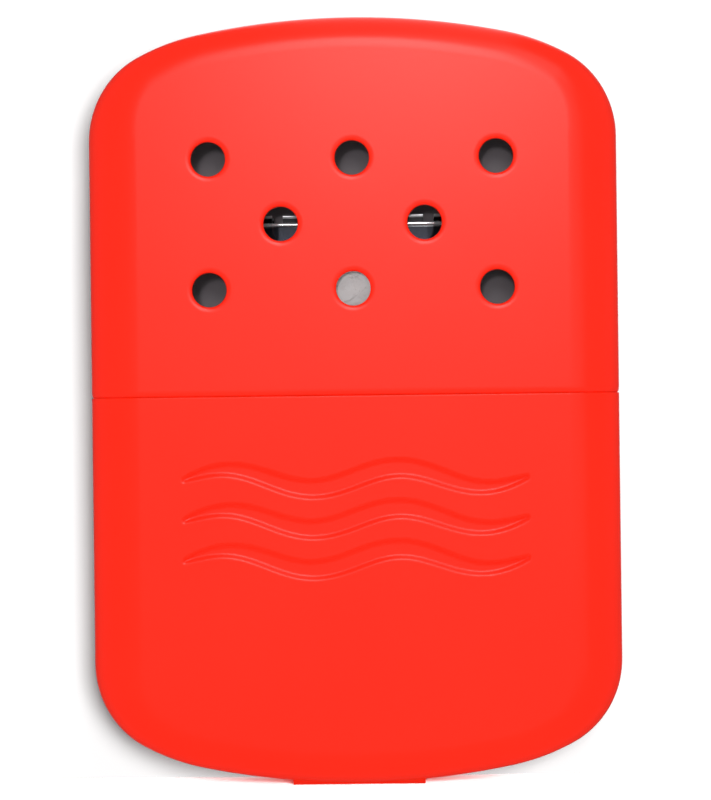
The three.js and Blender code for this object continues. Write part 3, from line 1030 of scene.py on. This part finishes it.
# %% [markdown]
# ## The catalyst's cage
# A second sleeve inside the housing holds the catalyst. It stands a little above the hem, its rim is a
# fine bead, and slits let its faces spring, so that its bright line looks broken behind the vents. It is
# made as the housing is, and the slits are two more blocks in the same cut.
# %% Cage
cage_low, cage_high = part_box("catalyst_cage")
cage_gap = 0.25 * mm
cage_wall = 0.3 * mm
cage_bead, cage_bead_out = 0.34 * mm, 0.12 * mm
bead_low = cage_high.z - cage_bead
slit_half_width = 0.7 * mm
slit_across = 9.75 * mm
slit_depth = 3.0 * mm
cage_profile = rolled_wall(
    -burner_wall - cage_gap, cage_wall, cage_low.z, cage_high.z, cage_bead, cage_bead_out
)
slit_cutters = [
    block((place - slit_half_width, -burner_depth, cage_high.z - slit_depth),
          (place + slit_half_width, burner_depth, cage_high.z + slit_depth))
    for place in (-slit_across, slit_across)
]
cage = oval_sleeve(burner_width, burner_depth, cage_profile)
cage = combine(cage, [window_cutter()] + slit_cutters, "DIFFERENCE")
soften(cage, offset=0.06 * mm)
# The near black band just under the bead is painted shade, as seen behind the vents. The darker greys below
# it stand for heat tint.
cage_steel_shaded = make_tinted_shaded_steel("cage_steel_shaded", [
    (cage_low.z, linear(120, 112, 112)),
    (cage_low.z + 5 * mm, linear(70, 62, 66)),
    (bead_low - 0.1 * mm, linear(13, 13, 15)),
    (bead_low + 0.08 * mm, linear(214, 214, 218)),
    (cage_high.z, linear(228, 228, 231)),
], wander=0.4 * mm, roughness=0.3)
keep(cage, "catalyst_cage_liner", "burner", [cage_steel_shaded], ["catalyst_cage"])

# %% [markdown]
# ## The screen
# A slotted plate between the neck and the catalyst spreads the vapour. Nine Booleans could cut the slots,
# but the plate is flat: its outline and its slots are drawn as ovals, one fill closes what lies between
# them, and the sheet then gets its thickness.
# %% Screen
screen_low, screen_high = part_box("burner_screen")
screen_thick = screen_high.z - screen_low.z
slot_width = 1.0 * mm
slot_pitch = 2.2 * mm
slot_count = 9
slot_reach = screen_high.y - 1.5 * mm
screen = bmesh.new()
border = add_oval(screen, 2 * screen_high.x, 2 * screen_high.y, screen_high.z)
for number in range(slot_count):
    known = set(screen.verts)
    border += add_oval(screen, 2 * slot_reach, slot_width, screen_high.z)
    across = (number - (slot_count - 1) / 2) * slot_pitch
    turn = Matrix.Translation((across, 0, 0)) @ Matrix.Rotation(quarter_turn, 4, "Z")
    bmesh.ops.transform(screen, matrix=turn, verts=[vert for vert in screen.verts if vert not in known])
fill_between(screen, border)
face_outward(screen, upward)
bmesh.ops.solidify(screen, geom=screen.faces[:], thickness=screen_thick)
merge_doubles(screen)
soften(screen, offset=0.06 * mm)
keep(screen, "burner_screen_slotted", "burner", [bright_steel], ["burner_screen"])

# %% [markdown]
# ## The soft pieces
# The catalyst is a block of mineral fibre, and the tank is stuffed with cotton. Both are loose fibre, so
# there is no cover to inflate, and a cloth simulation has nothing to hold. Each piece starts from a
# merged copy of its CAD solid, remeshed evenly, and then every point is moved inward by a smooth noise,
# so the piece keeps inside the room that the solid has.
# %% Evenly meshed copies
def even_copy(node, cell):
    """A merged copy of a CAD node's mesh, remeshed with even cells."""
    source = bmesh.new()
    source.from_mesh(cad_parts[node].data)
    merge_doubles(source)
    holder = put_in_scene("even", mesh_of(source, "even"))
    remesh = holder.modifiers.new("even", "REMESH")
    remesh.mode = "VOXEL"
    remesh.voxel_size = cell
    return take_result([holder])


# %% Lumps
def make_lumpy(sheet, node, lumps, rounding):
    """Smooths the mesh, then draws each vertex in by noise. Each lump is a size and a depth."""
    low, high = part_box(node)
    for _ in range(rounding):
        bmesh.ops.smooth_vert(
            sheet, verts=sheet.verts[:], factor=0.5, use_axis_x=True, use_axis_y=True, use_axis_z=True
        )
    sheet.normal_update()
    moves = []
    for vert in sheet.verts:
        depth = sum(deep * (0.5 + 0.5 * noise.noise(vert.co / size)) for size, deep in lumps)
        moves.append(vert.co - vert.normal * depth)
    for vert, place in zip(sheet.verts, moves):
        vert.co = [min(max(value, floor), top) for value, floor, top in zip(place, low, high)]


# %% Fibre finishes
fibre_values = {"Roughness": 0.95, "Specular IOR Level": 0.2}


def make_fibre_finish(name, low, high, scale, strength):
    """Loose fibre: a cloud at the given scale, and threads that are three times as fine."""
    return grainy_finish(name, low, high, (scale, 8), (scale * 3, 6, strength, 0.2 * mm), fibre_values)


catalyst_fibre = make_fibre_finish("catalyst_fibre", linear(234, 227, 227), linear(254, 251, 251), 900, 0.6)
cotton_wool = make_fibre_finish("cotton", linear(226, 222, 213), linear(250, 247, 240), 500, 0.5)
print("fibres:", catalyst_fibre.name, cotton_wool.name)

# %% Catalyst and cotton
mat_lumps = [(2.2 * mm, 0.3 * mm), (0.5 * mm, 0.14 * mm)]
cotton_lumps = [(7 * mm, 0.7 * mm), (1.6 * mm, 0.35 * mm)]
mat = even_copy("catalyst_mat", cell=0.3 * mm)
make_lumpy(mat, "catalyst_mat", mat_lumps, rounding=1)
mat_piece = keep(
    mat, "catalyst_wool", "burner", [catalyst_fibre], ["catalyst_mat"], weighted=False
)
for node in ("cotton_left", "cotton_middle", "cotton_right", "cotton_throat"):
    pad = even_copy(node, cell=0.6 * mm)
    make_lumpy(pad, node, cotton_lumps, rounding=3)
    pad_piece = keep(pad, node + "_wool", "tank", [cotton_wool], [node], weighted=False)

# %% [markdown]
# ## Threads on the catalyst
# Close up, the catalyst is a felt of mineral threads, and some of them stand off its face. A hair system
# would give thousands, but hair isn't a mesh, and the exported model would be without it. So six short
# threads are made, each a three-sided tube that is extruded along its own bend, and copies of them are
# strewn over both faces of the mat. The draws are seeded, so the threads lie the same way each time.
# %% One thread
thread_radius = 0.03 * mm
thread_steps = 6
thread_stride = 0.3 * mm
thread_bends = (-1.4, -0.9, -0.4, 0.3, 0.8, 1.3)  # radians from end to end


def thread_end(sheet):
    """A small triangle that closes the thread's end at the origin."""
    across = Matrix.Rotation(quarter_turn, 4, "Y")
    bmesh.ops.create_circle(sheet, cap_ends=True, radius=thread_radius, segments=3, matrix=across)


def thread_shape(bend):
    """A thread's mesh. It starts along X, curls upwards or downwards, and has its middle at the origin."""
    sheet = bmesh.new()
    way, place = Vector((thread_stride, 0, 0)), Vector()
    turn = Matrix.Rotation(bend / thread_steps, 4, "Y")
    thread_end(sheet)
    end = sheet.faces[:]
    for _ in range(thread_steps):
        grown = bmesh.ops.extrude_face_region(sheet, geom=end)["geom"]
        bmesh.ops.delete(sheet, geom=end, context="FACES_ONLY")
        end = faces_of(grown)
        way = turn.to_3x3() @ way
        bmesh.ops.transform(
            sheet, matrix=Matrix.Translation(way) @ turn, space=Matrix.Translation(-place),
            verts=verts_of(grown),
        )
        place += way
    thread_end(sheet)  # the first one went with the faces that the loop deletes
    merge_doubles(sheet, fine_distance)
    bmesh.ops.translate(sheet, verts=sheet.verts[:], vec=-place / 2)
    turn_outward(sheet)
    return mesh_of(sheet, "thread")


# %% Strewing the threads
thread_count = 300
thread_seed = 12
thread_depth = 0.3 * mm  # how far below the node's faces the deepest of them lie


def strew_threads(node, count):
    """Copies of the threads, turned at random, in the outermost part of a node's front and back."""
    low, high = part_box(node)
    reach = thread_steps * thread_stride / 2
    draw = random.Random(thread_seed)
    shapes = [thread_shape(bend) for bend in thread_bends]
    sheet = bmesh.new()
    for number in range(count):
        side = -1 if number % 2 else 1
        place = Vector((
            draw.uniform(low.x + 2 * reach, high.x - 2 * reach),
            side * (high.y - draw.uniform(0, thread_depth)),
            draw.uniform(low.z + reach, high.z - reach),
        ))
        turn = Matrix.Translation(place) @ Matrix.Rotation(draw.uniform(0, 2 * math.pi), 4, "Y")
        shape = shapes[draw.randrange(len(shapes))]
        shape.transform(turn)
        sheet.from_mesh(shape)
        shape.transform(turn.inverted())
    for shape in shapes:
        bpy.data.meshes.remove(shape)
    return sheet


threads = strew_threads("catalyst_mat", thread_count)
keep(threads, "catalyst_threads", "burner", [catalyst_fibre], weighted=False)

# %% [markdown]
# ## Camera
# The picture to match was taken from straight in front with a long lens, so the case's sides are hardly
# seen. Any lens gives the same proportions of a flat thing, but a far camera also keeps the vents' walls
# from showing. The distance is chosen first, and the lens follows from the height that the frame has to
# show. A small turn and roll put the case as it stands there.
# %% Camera
camera_distance = 450 * mm
view_height = 104.1 * mm  # what the frame's long side spans at the case's middle
camera_height = 49.56 * mm
camera_roll = math.radians(0.7)
camera_azimuth = math.radians(1.0)
camera_data = bpy.data.cameras.new("camera")
camera_data.sensor_width = 36
camera_data.lens = camera_data.sensor_width * camera_distance / view_height
camera_data.clip_start = 10 * mm
camera = put_in_scene("camera", camera_data)
camera.matrix_world = (
    Matrix.Translation((0, 0, camera_height)) @ Matrix.Rotation(camera_azimuth, 4, "Z")
    @ Matrix.Translation((0, -camera_distance, 0))
    @ Matrix.Rotation(quarter_turn, 4, "X") @ Matrix.Rotation(-camera_roll, 4, "Z")
)
bpy.context.scene.camera = camera
print("lens, mm:", round(camera_data.lens, 1))

# %% [markdown]
# ## World and lamps
# A product on white is lit by large soft lamps at a plain level, so that each colour comes out about as it
# was chosen. The world gives the light that comes from all round. It is pure white for the camera, for
# reflections and through glass, and a little less for what it lights. A small far lamp in front brings
# light through the vents, a soft one above to the right shapes the edges, and a third is only a
# reflection: the pale sheen over the lid.
# %% World
world_level = 0.9


def build_world():
    world = bpy.data.worlds.new("studio")
    bpy.context.scene.world = world
    world.use_nodes = True
    tree = world.node_tree
    rays = tree.nodes.new("ShaderNodeLightPath")
    seen = rays.outputs["Is Camera Ray"]
    for name in ("Is Glossy Ray", "Is Transmission Ray"):
        seen = add_math(tree, "MAXIMUM", seen, rays.outputs[name])
    level = add_node(tree, "ShaderNodeMapRange", {"Value": seen, "To Min": world_level, "To Max": 1.0})
    set_inputs(tree, tree.nodes["Background"], {"Color": (1, 1, 1, 1), "Strength": level.outputs["Result"]})


build_world()
print("world level:", world_level)

# %% A soft box
def add_lamp(name, azimuth, elevation, distance, width, height, radiance):
    """A soft box that faces the case's middle, by angles in degrees and lengths in metres."""
    data = bpy.data.lights.new(name, "AREA")
    data.shape = "RECTANGLE"
    data.size, data.size_y = width, height
    data.energy = radiance * math.pi * width * height
    lamp = put_in_scene(name, data)
    side, rise = math.radians(azimuth), math.radians(elevation)
    way = Vector((math.sin(side) * math.cos(rise), -math.cos(side) * math.cos(rise), math.sin(rise)))
    place = Matrix.Translation(Vector((0, 0, middle_height)) + way * distance)
    lamp.matrix_world = place @ way.to_track_quat("Z", "Y").to_matrix().to_4x4()
    return lamp


# %% The lamps that light the warmer
add_lamp("key", 24, 38, distance=0.45, width=0.2, height=0.2, radiance=1.2)
front_lamp = add_lamp("front", -2, 3, distance=2.0, width=0.1, height=0.1, radiance=276)
front_lamp.visible_glossy = False
sheen_lamp = add_lamp("sheen", 1.5, 22, distance=0.45, width=0.08, height=0.2, radiance=11.3)
sheen_lamp.visible_diffuse = False

# %% [markdown]
# ## Floor and backdrop
# The warmer stands on a white floor right in front of a white wall, and throws a narrow shadow on it. A
# shadow catcher would do from in front, but from behind, it greys whatever is seen through it. So both are
# plain planes, with a material that is see-through from its back. They are given a dark shade and strong
# lamps of their own, linked to them alone, which take them to white: the soft light from all round, which
# would fill the wall's shadow, then hardly counts, and no more light falls on the warmer.
# %% The stage's finish
def make_stage_finish(name, shade):
    """A plain shade in front, and see-through from behind."""
    finish, tree, shader = new_finish(name)
    set_inputs(tree, shader, {
        "Base Color": (shade, shade, shade, 1), "Roughness": 1.0, "Specular IOR Level": 0.0,
    })
    behind = tree.nodes.new("ShaderNodeNewGeometry").outputs["Backfacing"]
    clear = tree.nodes.new("ShaderNodeBsdfTransparent").outputs["BSDF"]
    mix = add_node(tree, "ShaderNodeMixShader", {"Fac": behind, 1: shader.outputs["BSDF"], 2: clear})
    tree.links.new(mix.outputs["Shader"], tree.nodes["Material Output"].inputs["Surface"])
    return finish


# %% A plane that some rays don't see
def plain_plane(name, place, half_size, finish, blind_rays):
    """A plane with one finish, and with the kinds of ray that don't see it."""
    sheet = bmesh.new()
    matrix = place @ Matrix.Diagonal((*half_size, 1, 1))
    bmesh.ops.create_grid(sheet, x_segments=1, y_segments=1, size=1, matrix=matrix)
    mesh = mesh_of(sheet, name)
    mesh.materials.append(finish)
    plane = put_in_scene(name, mesh)
    for ray in blind_rays:
        setattr(plane, "visible_" + ray, False)
    return plane


# %% Floor and backdrop
stage_group = bpy.data.collections.new("stage")
floor_drop = 0.05 * mm  # keeps the floor and the pad's flat apart
backdrop_gap = 0.3 * mm


def stage_plane(name, place, half, shade):
    finish = make_stage_finish(name + "_white", shade)
    blind_rays = ("diffuse", "glossy", "transmission", "shadow")
    stage = plain_plane(name, place, (half, half), finish, blind_rays)
    stage_group.objects.link(stage)


stage_plane("floor", Matrix.Translation((0, 0, -floor_drop)), half=0.6, shade=0.75)
wall_place = Matrix.Translation((0, case_half_depth + backdrop_gap, middle_height))
stage_plane("backdrop", wall_place @ Matrix.Rotation(quarter_turn, 4, "X"), half=0.3, shade=0.108)

stage_lamps = [
    add_lamp("stage_front", 10.5, 6, distance=1.5, width=0.567, height=0.567, radiance=200.0),
    add_lamp("stage_top", 30, 70, distance=1.5, width=0.5, height=0.5, radiance=60.0),
]
for lamp in stage_lamps:
    lamp.light_linking.receiver_collection = stage_group

# %% [markdown]
# ## Black cards
# A photographer stands black cards beside a glossy thing, so that its round edges reflect something dark
# and keep their own colour. Without them the white world would lay a pale rim round the red paint. Here
# the cards are planes that only reflections see: they throw no shadow and take no light away.
# %% Black cards that only reflections see
card_level = 0.08  # not quite black, so that steel still shows some light from the side
cards = [  # name, half its size, place and turn about Y, in metres
    ("card_left", (0.9, 0.5), (-0.1, -0.15, 0.05), quarter_turn),
    ("card_right", (0.9, 0.5), (0.25, 0.1, 0.05), quarter_turn),
    ("card_below", (0.4, 0.4), (0, -0.05, -0.03), 0),
]


def make_card_finish(name):
    finish, tree, shader = new_finish(name)
    tree.nodes.remove(shader)
    glow = add_node(tree, "ShaderNodeEmission", {"Color": (card_level, card_level, card_level, 1)})
    tree.links.new(glow.outputs["Emission"], tree.nodes["Material Output"].inputs["Surface"])
    return finish


def black_card(name, half_size, place):
    blind_rays = ("camera", "diffuse", "transmission", "shadow", "volume_scatter")
    card = plain_plane(name, place, half_size, make_card_finish(name), blind_rays)


for name, half_size, middle, turn in cards:
    black_card(name, half_size, Matrix.Translation(middle) @ Matrix.Rotation(turn, 4, "Y"))
print("cards:", [name for name, *_ in cards])

# %% [markdown]
# ## The picture's colours
# Blender's Standard view shows a colour as it was written, so the red comes out as its shader has it.
# %% Screen settings
bpy.context.scene.view_settings.view_transform = "Standard"
